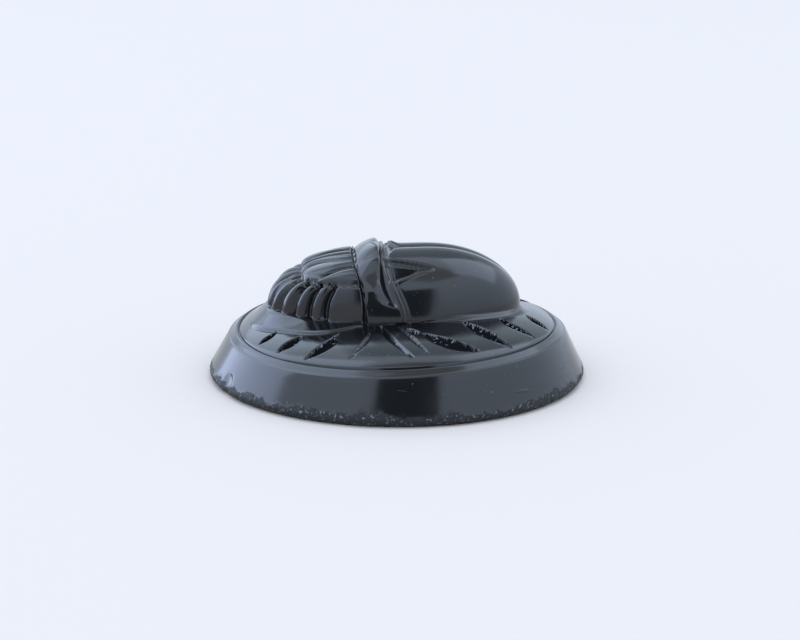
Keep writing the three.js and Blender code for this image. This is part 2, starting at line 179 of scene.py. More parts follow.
def leaf(x, y, start, end, half_width, bow=0.0, fullest=0.5):
    """A pointed leaf: how far inside it a point is (1 on the middle line, 0 at the edge), then the
    point's place along it, and across it in half widths."""
    (x0, y0), (x1, y1) = start, end
    length = math.hypot(x1 - x0, y1 - y0)
    ex, ey = (x1 - x0) / length, (y1 - y0) / length
    along = ((x - x0) * ex + (y - y0) * ey) / length
    aside = -(x - x0) * ey + (y - y0) * ex - bow * 4 * along * (1 - along)
    t = np.clip(along, TINY, 1 - TINY)
    width = half_width * np.where(t < fullest, np.sin(np.pi / 2 * t / fullest),
                                  np.cos(np.pi / 2 * (t - fullest) / (1 - fullest))) ** LEAF_POINT
    inside = np.where((along > 0) & (along < 1), np.clip(1 - np.abs(aside) / width, 0, 1), 0)
    return inside, along, aside / width


# ---- the relief's own shapes ------------------------------------------------------------------------
DOME_CENTRE = 2.4
DOME_HEIGHT = 4.65
DOME_POWER = 2.05
SEAM_DEPTH, SEAM_WIDTH, SEAM_POWER = 0.17, 0.12, 1.3
SEAM_HOLLOW_DEPTH, SEAM_HOLLOW_WIDTH = 0.15, 0.6
SEAM_END, SEAM_FADE = 9.2, 3.5
PIT_DEPTH, PIT_WIDTH, PIT_START, PIT_LENGTH = 0.34, 2.3, -0.75, 1.5
FOLD_LEAF_DEPTH, FOLD_LEAF_HALF_WIDTH = 0.24, 0.26
FOLD_LEAF_START, FOLD_LEAF_HALF_LENGTH, FOLD_LEAF_END = 0.7, 2.1, 2.75
FOLD_LEAF_SIDE, FOLD_LEAF_SLOPE = 2.42, 0.24
POCKET_DEPTH_AT_LIP, POCKET_POWER, POCKET_END, POCKET_FADE = 0.42, 0.8, 2.9, 2.2
POCKET_TOP, POCKET_TOP_SLOPE = 2.9, 0.2
POCKET_LOW, POCKET_LOW_SLOPE = 4.1, 0.3
LIP_HEIGHT, LIP_WIDTH = 0.06, 0.09
KNOT_HEIGHT, KNOT_PLACE, KNOT_LENGTH, KNOT_SIDE, KNOT_WIDTH = 0.24, -0.15, 0.42, 0.95, 0.5

LEDGE_SHARE = 0.9
LEDGE_END_SHARE = 0.73
LEDGE = 2.8
CAP_RISE = 1.45
CLAW_CENTRE = -3.6
CLAW_PITCH = 15.2
CLAW_START = 28.5
CLAW_CURL = 8
CLAW_DEPTH = 0.5
CLAW_CREST = 0.5
CLAW_FALL_POWER = 1.6
CLAW_LAST_ANGLE = 86
SKIRT_POWER = 2.3
CAP_POWER = 2.6
CAP_RIB_DEPTH = 0.4
CAP_RIB_CRESTS = (0.3, 0.28)
CAP_FIRST_CREASE, CAP_SECOND_CREASE, CAP_LAST = 1.5, 2.95, 5.3
SCALLOP = 0.045          # share of the oval by which the creases cut into the ledge

BAND_LEFT = -2.64
BAND_RIGHT = -0.75
BAND_HEIGHT = 4.3
BAND_RIDGE = 0.62
BAND_RIDGE_LOSS = 0.15
BAND_POWER = 2.2
BAND_FACET_POWER = 0.9
BAND_SHOULDER = 0.3
BAND_SUNK = 0.75
RIDGE_SIDES = (0, 1.2, 2.4, 3.0, 3.84, 4.56, 4.85)
RIDGE_PLACES = (0.62, 0.78, 0.9, 0.8, 0.67, 0.34, 0.08)
RIDGE_FALL_SIDES = (0, 1.4, 2.6, 4.5, 5.1)
RIDGE_FALL = (1, 1.05, 0.9, 0.6, 0.05)
BAND_LEFT_CREVICE, BAND_LEFT_CREVICE_WIDTH = 0.34, 0.12
CORD_HEIGHT, CORD_HALF_WIDTH, CORD_THICKENING = 0.15, 0.09, 0.06
CORD_GAP = 0.06


def band_edges(v):
    """Where the band's left and right edges lie; both sweep toward the dome near the foot."""
    a = np.abs(v)
    left = BAND_LEFT + 0.65 * (a / RELIEF_WIDTH) ** 4
    right = BAND_RIGHT - 0.15 * bell((a - 2.2) / 1.2) + 1.2 * (a / RELIEF_WIDTH) ** 6
    return left, right


def dome_height(u, v):
    """The smooth half without its fine lines: a long dome with a round nose."""
    spine = np.minimum(u, DOME_CENTRE)
    low, high = np.zeros_like(u), np.full_like(u, 400.0)
    for _ in range(BISECTIONS):
        reach = (low + high) / 2
        inside = oval_share(spine + reach * (u - spine), reach * v) < 1
        low, high = np.where(inside, reach, low), np.where(inside, high, reach)
    return DOME_HEIGHT * hump(1 / np.maximum(low, 1), DOME_POWER)


def dome_detail(u, v):
    """Seam between the two lobes, and the folded corner by the band, as depth into the surface."""
    a = np.abs(v)
    fade = ease((SEAM_END - u) / SEAM_FADE)
    seam = (SEAM_DEPTH * np.exp(-np.abs(v / SEAM_WIDTH) ** SEAM_POWER)
            + SEAM_HOLLOW_DEPTH * bell(v / SEAM_HOLLOW_WIDTH)) * fade
    pit_width = PIT_WIDTH * np.clip(1 - (u - PIT_START) / PIT_LENGTH, 0, 1) ** 1.5
    pit = PIT_DEPTH * ease((pit_width - a) / 0.35 + 0.5) * ease((0.75 - u) / 0.6)
    leaf_middle = FOLD_LEAF_SIDE + FOLD_LEAF_SLOPE * (u + 0.9)
    leaf_width = FOLD_LEAF_HALF_WIDTH * hump((u - FOLD_LEAF_START) / FOLD_LEAF_HALF_LENGTH, 2)
    inside = 1 - np.abs(a - leaf_middle) / np.maximum(leaf_width, 0.02)
    upper = FOLD_LEAF_DEPTH * ease(1.6 * inside) * (u < FOLD_LEAF_END)
    top = POCKET_TOP + POCKET_TOP_SLOPE * (u + 0.7)
    low = POCKET_LOW - POCKET_LOW_SLOPE * (u + 0.32)
    top = np.minimum(top, low - 0.12)
    across = np.clip((a - top) / np.maximum(low - top, 0.05), 0, 1)
    fall = ease((low - a) / 0.07) * ease((POCKET_END - u) / POCKET_FADE)
    pocket = POCKET_DEPTH_AT_LIP * across ** POCKET_POWER * fall
    lip = LIP_HEIGHT * bell((a - low - 0.1) / LIP_WIDTH) * ease((2.7 - u) / 0.6)
    knot = KNOT_HEIGHT * bell((u - KNOT_PLACE) / KNOT_LENGTH) * bell((v - KNOT_SIDE) / KNOT_WIDTH)
    return np.maximum(np.maximum(seam, pit), np.maximum(upper, pocket)) - lip - knot


def rib_round(k, crest):
    """Rounded rib between two creases: 1 on its crest and 0 at the creases."""
    side = np.where(k < crest, (k - crest) / crest, (k - crest) / (1 - crest))
    return np.sqrt(np.clip(1 - side ** 2, 0, 1))


def cap_rib(u, v):
    """Roundness of the long ribs on the cap: 1 on their crests and 0 in their creases."""
    a = np.abs(v)
    first = CAP_FIRST_CREASE - 0.5 * ease((-3.4 - u) / 2.4)
    second = CAP_SECOND_CREASE + 0.4 * ease((-3.0 - u) / 2.2)
    k = np.where(a < first, a / first, np.where(a < second, (a - first) / (second - first),
                                                (a - second) / (CAP_LAST - second)))
    return rib_round(np.clip(k, 0, 1), np.where(a < first, *CAP_RIB_CRESTS))


def ledge_share(u, v):
    """Share of the oval at which the skirt meets the cap; deeper round the end, and scalloped."""
    plain = LEDGE_END_SHARE + (LEDGE_SHARE - LEDGE_END_SHARE) * ease((np.abs(v) - 0.5) / 3.7)
    return plain - SCALLOP * (1 - cap_rib(u, v)) * ease((-2.6 - u) / 1.5)


def tier_height(u, v):
    """The ribbed half without its ribs: a steep skirt up to a ledge, and a cap above it."""
    share = oval_share(u, v)
    ledge = ledge_share(u, v)
    wall = LEDGE * hump(np.clip((share - ledge) / (1 - ledge), 0, 1), SKIRT_POWER)
    cap = LEDGE + CAP_RISE * hump(np.clip(share / ledge, 0, 1), CAP_POWER)
    return np.where(share > ledge, wall, cap)


def claw_blade(k):
    """A claw's cross-section: a round rise from one crease to its crest, and a slope down to the next."""
    rise = np.sqrt(np.clip(1 - ((CLAW_CREST - k) / CLAW_CREST) ** 2, 0, 1))
    drop = 1 - np.clip((k - CLAW_CREST) / (1 - CLAW_CREST), 0, 1) ** CLAW_FALL_POWER
    return np.where(k < CLAW_CREST, rise, drop)


def tier_detail(u, v):
    """Claw ribs on the skirt and long ribs on the cap, as depth into the surface."""
    a = np.abs(v)
    share = oval_share(u, v)
    ledge = ledge_share(u, v)
    climb = np.clip(tier_height(u, v) / LEDGE, 0, 1)
    angle = np.degrees(np.arctan2(a, np.maximum(CLAW_CENTRE - u, 0.02)))
    phase = (angle - CLAW_START - CLAW_CURL * climb ** 3) / CLAW_PITCH
    claw = claw_blade(phase % 1)
    amount = CLAW_DEPTH * ease(climb / 0.25) * ease((CLAW_LAST_ANGLE - angle) / 5)
    skirt = amount * (1 - claw)
    cap = CAP_RIB_DEPTH * (1 - cap_rib(u, v)) * ease((ledge - share) / 0.04)
    return np.where(share > ledge, skirt, cap)


def band_height(u, v):
    """The twisted ribbon across the relief: two facets that meet in a slanting ridge."""
    a = np.abs(v)
    left, right = band_edges(v)
    k = np.clip((u - left) / (right - left), 0, 1)
    crown = BAND_HEIGHT * hump(v / oval_width(u), BAND_POWER)
    ridge = np.interp(a, RIDGE_SIDES, RIDGE_PLACES)
    facet = np.minimum(k / ridge, (1 - k) / (1 - ridge))
    upper = ease((2.5 - a) / 1.5)
    rise = (BAND_RIDGE - BAND_RIDGE_LOSS * upper) * np.interp(a, RIDGE_FALL_SIDES, RIDGE_FALL)
    shoulder = BAND_SHOULDER * k * upper
    sunk = BAND_SUNK * k * ease((a - 2.6) / 1.2) * ease((5.1 - a) / 0.5)
    return crown + shoulder - sunk + rise * np.sin(np.pi / 2 * facet) ** BAND_FACET_POWER


def relief_height(u, v, part):
    """Height of the relief above its foot; part is 0 for the ribbed half, 1 for the band, 2 for the dome."""
    if part == 1:
        return band_height(u, v)
    return dome_height(u, v) if part == 2 else tier_height(u, v)


def relief_detail(u, v, part):
    """Depth of the fine relief into the surface."""
    left, right = band_edges(v)
    if part == 1:
        return np.zeros_like(u)
    if part == 0:
        beyond = left - u
        crevice = BAND_LEFT_CREVICE * bell((beyond - 0.1) / BAND_LEFT_CREVICE_WIDTH)
        return tier_detail(u, v) * ease(beyond / 0.12) + crevice
    beyond = u - right
    thick = CORD_HALF_WIDTH + CORD_THICKENING * ease((np.abs(v) - 2) / 2)
    cord = CORD_HEIGHT * np.sqrt(np.clip(1 - ((beyond - CORD_GAP - thick) / thick) ** 2, 0, 1))
    gap = 0.14 * bell((beyond - 0.02) / 0.05) + 0.16 * bell((beyond - 0.14 - 2 * thick) / 0.09)
    return dome_detail(u, v) * ease((beyond - 0.1 - thick) / 0.1) - cord + gap


# ---- the flange --------------------------------------------------------------------------------------
LEAF_CUTS = (            # start near the relief, end near the rim, half width, bow
    ((-4.0, -6.6), (-6.15, -9.2), 0.46, 0.45),
    ((-6.55, -6.13), (-8.15, -7.5), 0.46, 0.15),
    ((-8.3, -4.6), (-9.5, -5.6), 0.33, 0.05),
    ((1.85, -7.15), (5.5, -9.1), 0.66, -0.48),
    ((4.65, -4.4), (7.8, -7.8), 0.58, -0.46),
    ((7.2, -2.9), (9.6, -5.45), 0.40, -0.52),
    ((9.15, -1.48), (10.6, -3.2), 0.36, -0.15),
    ((0.7, -6.1), (1.55, -7.4), 0.28, 0.0),
)
FINE_LEAF = ((-1.6, -4.9), (-3.35, -10.4), 0.09, 0.5)
TAIL_GROOVE = ((-1.15, -5.0), (1.15, -10.5), 0.2, -0.42)
TAIL_BLADE = ((-0.7, -5.2), (1.4, -10.5), 0.42, -0.28)
SECOND_GROOVE = ((0.1, -5.7), (2.15, -10.2), 0.12, -0.05)
CUT_DEPTH = 0.5
CUT_MOUTH_SHARE = 0.6    # a cut starts this deep beside the relief and deepens outward
FINE_LEAF_DEPTH, FINE_LEAF_RIM = 0.22, 0.06
TAIL_GROOVE_DEPTH, TAIL_BLADE_HEIGHT, TAIL_GRIT = 0.42, 0.2, 0.05
SECOND_GROOVE_DEPTH, SECOND_BLADE_HEIGHT = 0.2, 0.1
SECOND_BLADE = ((0.6, -6.4), (2.9, -10.75), 0.16, -0.2)


def flange_height(x, y):
    """Height of the flange above the rim plane: flat by the relief and rounding over at its edge."""
    radius = np.hypot(x, y)
    return FLANGE_RISE * (1 - np.clip(radius / FLANGE_RADIUS, 0, 1) ** FLANGE_POWER) ** FLANGE_EDGE


def plinth_place(x, y):
    """The outer edge of the plinth beside each point of the relief's outline."""
    u, v = to_relief(x, y)
    spread = ease((PLINTH_START - u) / 2.6)
    side = PLINTH_SIDE + 0.85 * spread + 0.55 * bell((u + 5.2) / 1.6) + 0.3 * ease((u - 2) / 4)
    wide = (RELIEF_WIDTH + side) / RELIEF_WIDTH
    long = PLINTH_LENGTH + 0.12 * ease((PLINTH_START - u) / 4) + 0.05 * ease((u - 2) / 4)
    return from_relief(u * long, v * wide)


def plinth_lift(u, t):
    """Height of the plinth's sloping top, and of the fillet under the dome, above the flange."""
    slope = PLINTH_SLOPE + PLINTH_END_SLOPE * ease((-4 - u) / 4.5)
    plinth = (PLINTH_STEP + slope * (1 - t) ** 1.2) * ease((PLINTH_START - u) / 1.2)
    fillet = FILLET * (1 - t) ** 2 * ease((u - 1) / 4)
    return plinth + fillet


def flange_detail(x, y):
    """Depth of the leaf cuts and tails, and how rough the surface is there."""
    depth = np.zeros_like(x)
    rough = np.zeros_like(x)
    flat = np.stack([x, y, 0 * x], -1)
    grit = noise(flat, 0.3, 5) * 0.5 + noise(flat, 0.14, 6) * 0.5
    for mx, my in ((x, y), mirrored(x, y)):
        for start, end, half_width, bow in LEAF_CUTS:
            inside, along, _ = leaf(mx, my, start, end, half_width, bow, fullest=0.55)
            deepening = CUT_MOUTH_SHARE + (1 - CUT_MOUTH_SHARE) * ease(along * 1.5)
            depth = np.maximum(depth, CUT_DEPTH * ease(inside * 2.3) * deepening)
            rough = np.maximum(rough, ease(inside * 9))
        line, along, side = leaf(mx, my, *FINE_LEAF)
        beside = bell((np.abs(side) - 1.7) / 0.6) * (along > 0) * (along < 1)
        depth = np.maximum(depth, FINE_LEAF_DEPTH * ease(line * 2)) - FINE_LEAF_RIM * beside
        groove, _, _ = leaf(mx, my, *TAIL_GROOVE)
        blade, _, _ = leaf(mx, my, *TAIL_BLADE, fullest=0.4)
        raised = (TAIL_BLADE_HEIGHT + TAIL_GRIT * grit) * ease(blade * 1.6)
        depth = np.maximum(depth, TAIL_GROOVE_DEPTH * ease(groove * 2)) - raised
        rough = np.maximum(rough, 0.5 * ease(blade * 2))
        groove, _, _ = leaf(mx, my, *SECOND_GROOVE)
        blade, _, _ = leaf(mx, my, *SECOND_BLADE)
        raised = SECOND_BLADE_HEIGHT * ease(blade * 2)
        depth = np.maximum(depth, SECOND_GROOVE_DEPTH * ease(groove * 2)) - raised
    return depth, rough


def face_z(x, y, height):
    """Height above the back of a place on the tilted and slightly twisted face."""
    return RIM_HEIGHT + height + FACE_RISE_X * x + FACE_RISE_Y * y + FACE_TWIST * x * y


def crowd(count, start, stop):
    """Places from 0 to 1, closer together toward the start or the stop by the two amounts."""
    t = np.linspace(0, 1, count + 1)
    low = 1 - np.cos(np.pi / 2 * t)
    high = np.sin(np.pi / 2 * t)
    both = (1 - np.cos(np.pi * t)) / 2
    even = (1 - start) * (1 - stop) * t
    return even + start * (1 - stop) * low + stop * (1 - start) * high + start * stop * both


def relief_grid():
    """Places over the relief: columns follow the band's edges and rows follow the outline."""
    rows = crowd(ROWS, 1, 1) * 2 - 1

    def end_arc(side):
        length = DOME_LENGTH if side > 0 else RELIEF_LENGTH
        v = rows * oval_width(np.array([side * length * END_CORNER]))[0]
        u = side * length * hump(v / RELIEF_WIDTH, DOME_OUTLINE_POWER if side > 0 else RELIEF_POWER)
        return u, v

    def band_edge(side):
        reach = RELIEF_WIDTH
        for _ in range(12):
            u_end = band_edges(reach)[side]
            reach = float(oval_width(np.array([u_end]))[0])
        v = rows * reach
        return band_edges(v)[side], v

    lines = [end_arc(-1), band_edge(0), band_edge(1), end_arc(1)]
    spans = [
        (0, 1, crowd(LEFT_COLUMNS, 0.95, 0.25)),
        (1, 2, crowd(BAND_COLUMNS, 0.3, 0.3)),
        (2, 3, crowd(RIGHT_COLUMNS, 0.25, 0.95)),
    ]
    columns = []
    parts = []
    for part, (i, j, steps) in enumerate(spans):
        (u0, v0), (u1, v1) = lines[i], lines[j]
        for step in steps[(0 if part == 0 else 1):]:
            u = u0 + step * (u1 - u0)
            inner = v0 + step * (v1 - v0)
            ends = oval_width(np.array([u[0], u[-1]]))
            size = np.where(rows < 0, ends[0] / abs(inner[0]), ends[1] / abs(inner[-1]))
            columns.append((u, inner * size))
            parts.append(part)
    return np.array([c[0] for c in columns]), np.array([c[1] for c in columns]), np.array(parts)


def surface_normals(points):
    """Unit normals of a grid of points, from the differences to their neighbours."""
    across = np.gradient(points, axis=0)
    along = np.gradient(points, axis=1)
    normal = np.cross(across, along)
    normal *= np.sign(normal[..., 2:3]) + (normal[..., 2:3] == 0)
    return normal / np.maximum(np.linalg.norm(normal, axis=-1, keepdims=True), 1e-9)


def relief_surface():
    """The whole relief as one grid of points, its detail cut along the surface's own normals."""
    u, v, parts = relief_grid()
    height = np.zeros_like(u)
    depth = np.zeros_like(u)
    for part in (0, 1, 2):
        pick = parts == part
        height[pick] = relief_height(u[pick], v[pick], part)
        depth[pick] = relief_detail(u[pick], v[pick], part)
    x, y = from_relief(u, v)
    ground = flange_height(x, y) + plinth_lift(u, 0)
    rim = np.zeros(u.shape, bool)
    rim[0], rim[-1], rim[:, 0], rim[:, -1] = True, True, True, True
    z = np.where(rim, ground, np.maximum(height + RELIEF_FOOT, ground))
    points = np.stack([x, y, face_z(x, y, z)], -1)
    sink = np.where(rim | (height + RELIEF_FOOT <= ground), 0, depth)
    wave = WAVE_DEPTH * noise(points, WAVE_CELL, WAVE_SEED)
    return points - (sink + wave)[..., None] * surface_normals(points)


def perimeter(grid):
    """The grid's edge as one closed ring, anticlockwise from its -X, -Y corner."""
    return np.concatenate([grid[:-1, 0], grid[-1, :-1], grid[:0:-1, -1], grid[0, :0:-1]])


def glass_rings(edge):
    """Rings from the relief's edge over the flange, rim and bevel to the pocket in the back."""
    even = np.arctan2(edge[0, 1], edge[0, 0]) + np.arange(SECTORS) / SECTORS * 2 * np.pi
    rings = []
    rough_rings = []
    x0, y0 = edge[:, 0], edge[:, 1]
    x1, y1 = plinth_place(x0, y0)
    u, _ = to_relief(x0, y0)
    for t in np.linspace(0, 1, PLINTH_RINGS + 1)[1:]:
        x, y = x0 + t * (x1 - x0), y0 + t * (y1 - y0)
        rings.append((x, y, face_z(x, y, flange_height(x, y) + plinth_lift(u, t))))
        rough_rings.append(0 * x)
    angle = np.unwrap(np.arctan2(y1, x1))
    reach = np.hypot(x1, y1)
    for share in np.concatenate([[0.008], np.linspace(0.03, 1, FLANGE_RINGS)]):
        turn = angle + (even - angle) * share
        radius = reach + share * (FLANGE_RADIUS - reach)
        x, y = radius * np.cos(turn), radius * np.sin(turn)
        depth, rough = flange_detail(x, y)
        depth = depth * ease((1 - share) * 14) * ease(share * 40)
        rings.append((x, y, face_z(x, y, flange_height(x, y) - depth)))
        rough_rings.append(rough)
    for radius, height, tilt in turned_profile():
        x, y = radius * np.cos(even), radius * np.sin(even)
        rings.append((x, y, height + tilt * (face_z(x, y, 0) - RIM_HEIGHT)))
        rough_rings.append(0 * x)
    return np.array([np.stack(ring, -1) for ring in rings]), np.array(rough_rings)


# Radius, height against the rim's height, from the flange's edge over a groove and the shoulder.
RIM_STEPS = (
    (11.3, -0.08), (11.33, -0.14), (11.38, -0.14), (11.42, -0.07), (11.46, -0.02), (11.52, 0), (11.57, 0),
    (11.63, -0.03), (11.7, -0.09), (11.8, -0.18), (11.9, -0.27), (11.97, -0.33), (12.01, -0.345),
    (12.06, -0.345), (12.1, -0.37), (12.14, -0.42),
)
# Radius and height, from the widest edge round to the flat back.
FOOT_STEPS = (
    (13.49, 0.52), (13.5, 0.44), (13.48, 0.34), (13.42, 0.24), (13.34, 0.15), (13.24, 0.07), (13.15, 0.02),
    (FOOT_RADIUS, 0), (12.6, 0), (9, 0),
)
# Radius and height of the recess and of the pocket at its top.
RECESS_STEPS = (
    (5.85, 0), (5.75, 0), (5.68, 0.05), (5.55, 0.18), (5.5, 0.3), (5.32, 3.5), (5.26, 3.6), (5.15, 3.625),
    (4.35, 3.625), (4.27, 3.64), (4.25, 3.7), (4.25, 4.7), (4.2, POCKET_DEPTH),
)
BEVEL_END_INSET = 0.05
BEVEL_END_RISE = 0.12


def turned_profile():
    """Radius, height and share of the face's tilt, from the flange's edge over the rim to the pocket."""
    profile = [(radius, RIM_HEIGHT + step, 1) for radius, step in RIM_STEPS]
    top_radius, top_height, _ = profile[-1]
    end_radius, end_height = WIDE_RADIUS - BEVEL_END_INSET, WIDE_HEIGHT + BEVEL_END_RISE
    for t in np.linspace(0.07, 1, BEVEL_RINGS) ** 0.7:
        radius = top_radius + t * (end_radius - top_radius)
        height = top_height + t * (end_height - top_height)
        profile.append((radius, height, 1 - t))
    profile += [(radius, height, 0) for radius, height in FOOT_STEPS + RECESS_STEPS]
    return profile


CHIP_DEPTH = 0.055
CHIP_ZONE_HEIGHT, CHIP_ZONE_SOFTNESS = 0.8, 0.6
CHIP_ZONE_RADIUS = 12.6
SHELL_ANGLE = math.radians(-152)
SHELL_HEIGHT, SHELL_RADIUS = 0.75, 0.85
SHELL_DEPTH, SHELL_RIPPLE = 0.16, 0.02
SHELL_ARC_RADIUS = 13


def chip_edge(rings):
    """Roughens the lower edge of the bevel, where the glass is ground and chipped, and cuts one
    shell-shaped chip into it.  Returns how worn each point is."""
    x, y, z = rings[..., 0], rings[..., 1], rings[..., 2]
    radius = np.hypot(x, y)
    flat = rings * (1, 1, 0)
    ragged = CHIP_ZONE_HEIGHT + 0.2 * noise(flat, 1.3, 4) + 0.16 * noise(flat, 0.45, 9)
    zone = ease((ragged - z) / CHIP_ZONE_SOFTNESS + 0.5) * (radius > CHIP_ZONE_RADIUS)
    chips = noise(rings, 0.7, 1) * 0.4 + noise(rings, 0.3, 2) * 0.5 + noise(rings, 0.15, 3) * 0.4
    push = -CHIP_DEPTH * zone * (0.3 + chips) * ease(z / 0.1 + 0.3) / radius
    arc = (np.arctan2(y, x) - SHELL_ANGLE) * SHELL_ARC_RADIUS
    shell = np.hypot(arc, z - SHELL_HEIGHT) / SHELL_RADIUS
    scoop = SHELL_DEPTH * ease((1 - shell) * 3) * (1.1 - shell)
    scoop += SHELL_RIPPLE * np.sin(shell * 22) * ease((1 - shell) * 4)
    push = push - scoop * (radius > 12) / radius
    rings[..., :2] += rings[..., :2] * push[..., None]
    return zone


GLASS_SLOT, CUT_SLOT, WORN_SLOT = 0, 1, 2
BEVEL_START_RADIUS, BEVEL_START_HEIGHT = 11.7, 3.8


def build_glass():
    """The glass as one closed mesh, with three masks: worn edge, bevel and leaf cuts."""
    grid = relief_surface()
    columns, rows = grid.shape[:2]
    rings, rough = glass_rings(perimeter(grid))
    zone = chip_edge(rings)
    points = np.concatenate([grid.reshape(-1, 3), rings.reshape(-1, 3), [[0, 0, POCKET_DEPTH]]]) * MM
    start = columns * rows
    still = np.zeros(start)
    cuts = np.concatenate([still, rough.reshape(-1), [0]])
    worn = np.concatenate([still, zone.reshape(-1), [0]])
    outside = ease((np.hypot(rings[..., 0], rings[..., 1]) - BEVEL_START_RADIUS) / 0.2)
    below = ease((BEVEL_START_HEIGHT - rings[..., 2]) / 0.2)
    bevel = np.concatenate([still, (outside * below).reshape(-1), [0]])
    index = np.arange(start).reshape(columns, rows)
    corners = [index[:-1, :-1], index[1:, :-1], index[1:, 1:], index[:-1, 1:]]
    quads = [np.stack(corners, -1).reshape(-1, 4)]
    edge = perimeter(index)
    i = np.arange(SECTORS)
    j = (i + 1) % SECTORS
    quads.append(np.stack([edge[i], start + i, start + j, edge[j]], -1))
    for k in range(len(rings) - 1):
        a, b = start + k * SECTORS, start + (k + 1) * SECTORS
        quads.append(np.stack([a + i, b + i, b + j, a + j], -1))
    quads = np.concatenate(quads)
    last = start + (len(rings) - 1) * SECTORS
    fans = [(last + SECTORS, last + int(b), last + int(a)) for a, b in zip(i, j)]
    mesh = bpy.data.meshes.new("button_glass")
    mesh.from_pydata([tuple(p) for p in points], [], [tuple(int(n) for n in q) for q in quads] + fans)
    for name, values in (("worn", worn), ("bevel", bevel), ("cut", cuts)):
        stored = mesh.attributes.new(name, "FLOAT", "POINT")
        stored.data.foreach_set("value", values.astype(np.float32))
    slots = np.where(worn[quads].mean(axis=1) > 0.55, WORN_SLOT, GLASS_SLOT)
    slots = np.where(cuts[quads].mean(axis=1) > 0.5, CUT_SLOT, slots)
    slots = np.concatenate([slots, np.full(SECTORS, GLASS_SLOT)])
    mesh.polygons.foreach_set("material_index", slots.astype(np.int32))
    mesh.shade_smooth()
    mesh.update()
    body = bpy.data.objects.new("button_glass", mesh)
    bpy.context.scene.collection.objects.link(body)
    return body


# ---- materials: noise scales are lumps per metre --------------------------------------------------------
POLISHED_IOR = 1.52
WORN_IOR = 1.27
CUT_IOR = 1.08           # low, as light is lost in the pits of the matt floor
MEAN_RADIUS = 13 * MM
RIPPLE_SCALE = 800
GRAIN_SCALE = 5200
PALE_DUST = (0.2, 0.21, 0.22)


def new_material(name):
    """A new material, its node tree and its shader."""
    material = bpy.data.materials.new(name)
    material.use_nodes = True
    tree = material.node_tree
    shader = tree.nodes["Principled BSDF"]
    return material, tree, shader


def node(tree, kind, **values):
    """Adds a node and sets its properties."""
    made = tree.nodes.new(kind)
    for name, value in values.items():
        setattr(made, name, value)
    return made


def noise_texture(tree, coords, scale, detail, rough):
    """Noise from 0 to 1."""
    texture = node(tree, "ShaderNodeTexNoise")
    texture.inputs["Scale"].default_value = scale
    texture.inputs["Detail"].default_value = detail
    texture.inputs["Roughness"].default_value = rough
    tree.links.new(coords, texture.inputs["Vector"])
    return texture.outputs["Fac"]


def remap(tree, value, low, high, to_low, to_high):
    """Stretches the span from low to high onto another span, and stops at its ends."""
    mapper = node(tree, "ShaderNodeMapRange", clamp=True)
    for name, number in zip(("From Min", "From Max", "To Min", "To Max"), (low, high, to_low, to_high)):
        mapper.inputs[name].default_value = number
    tree.links.new(value, mapper.inputs["Value"])
    return mapper.outputs["Result"]


def combine(tree, operation, a, b):
    """An arithmetic operation on two sockets or numbers."""
    made = node(tree, "ShaderNodeMath", operation=operation)
    for socket, value in zip(made.inputs, (a, b)):
        if isinstance(value, (int, float)):
            socket.default_value = value
        else:
            tree.links.new(value, socket)
    return made.outputs[0]


def product(tree, a, b):
    """The two multiplied."""
    return combine(tree, "MULTIPLY", a, b)


def total(tree, a, b):
    """The two added."""
    return combine(tree, "ADD", a, b)


def fine_height(tree, coords, worn, bevel):
    """Ripple all over, grit where the glass is worn, and streaks and scratches round the bevel."""
    ripple = product(tree, noise_texture(tree, coords, RIPPLE_SCALE, 2, 0.5), 0.12)
    grain = noise_texture(tree, coords, GRAIN_SCALE, 3, 0.65)
    grit = product(tree, grain, total(tree, product(tree, worn, 1.3), 0.02))
    apart = node(tree, "ShaderNodeSeparateXYZ")
    tree.links.new(coords, apart.inputs[0])
    height = apart.outputs["Z"]
    around = combine(tree, "ARCTAN2", apart.outputs["Y"], apart.outputs["X"])
    along = product(tree, around, MEAN_RADIUS)
    streaks = noise_texture(tree, joined(tree, product(tree, along, 0.04), height), 3600, 2, 0.6)
    slant = total(tree, product(tree, along, 0.12), height)
    lines = noise_texture(tree, joined(tree, product(tree, along, 0.07), slant), 3400, 1, 0.5)
    scratch = remap(tree, lines, 0.66, 0.74, 0, 0.5)
    patch = remap(tree, noise_texture(tree, coords, 130, 1, 0.5), 0.45, 0.6, 0, 1)
    marks = total(tree, product(tree, streaks, 0.07), product(tree, scratch, patch))
    return total(tree, total(tree, ripple, grit), product(tree, marks, bevel))


def joined(tree, x, z):
    """A texture place made of a distance round the button and a height."""
    made = node(tree, "ShaderNodeCombineXYZ")
    tree.links.new(x, made.inputs["X"])
    tree.links.new(z, made.inputs["Z"])
    return made.outputs[0]


def add_bump(tree, shader, height, strength, distance):
    """Tilts the shader's normal by a fine height, in metres."""
    bump = node(tree, "ShaderNodeBump")
    bump.inputs["Strength"].default_value = strength
    bump.inputs["Distance"].default_value = distance
    tree.links.new(height, bump.inputs["Height"])
    tree.links.new(bump.outputs["Normal"], shader.inputs["Normal"])


def blend_colour(tree, shader, amount, dark, light):
    """Base colour between two colours."""
    colour = node(tree, "ShaderNodeMix", data_type="RGBA")
    colour.inputs["A"].default_value = (*dark, 1)
    colour.inputs["B"].default_value = (*light, 1)
    tree.links.new(amount, colour.inputs["Factor"])
    tree.links.new(colour.outputs["Result"], shader.inputs["Base Color"])


def attribute(tree, name):
    """One of the masks stored in the mesh."""
    return node(tree, "ShaderNodeAttribute", attribute_name=name).outputs["Fac"]


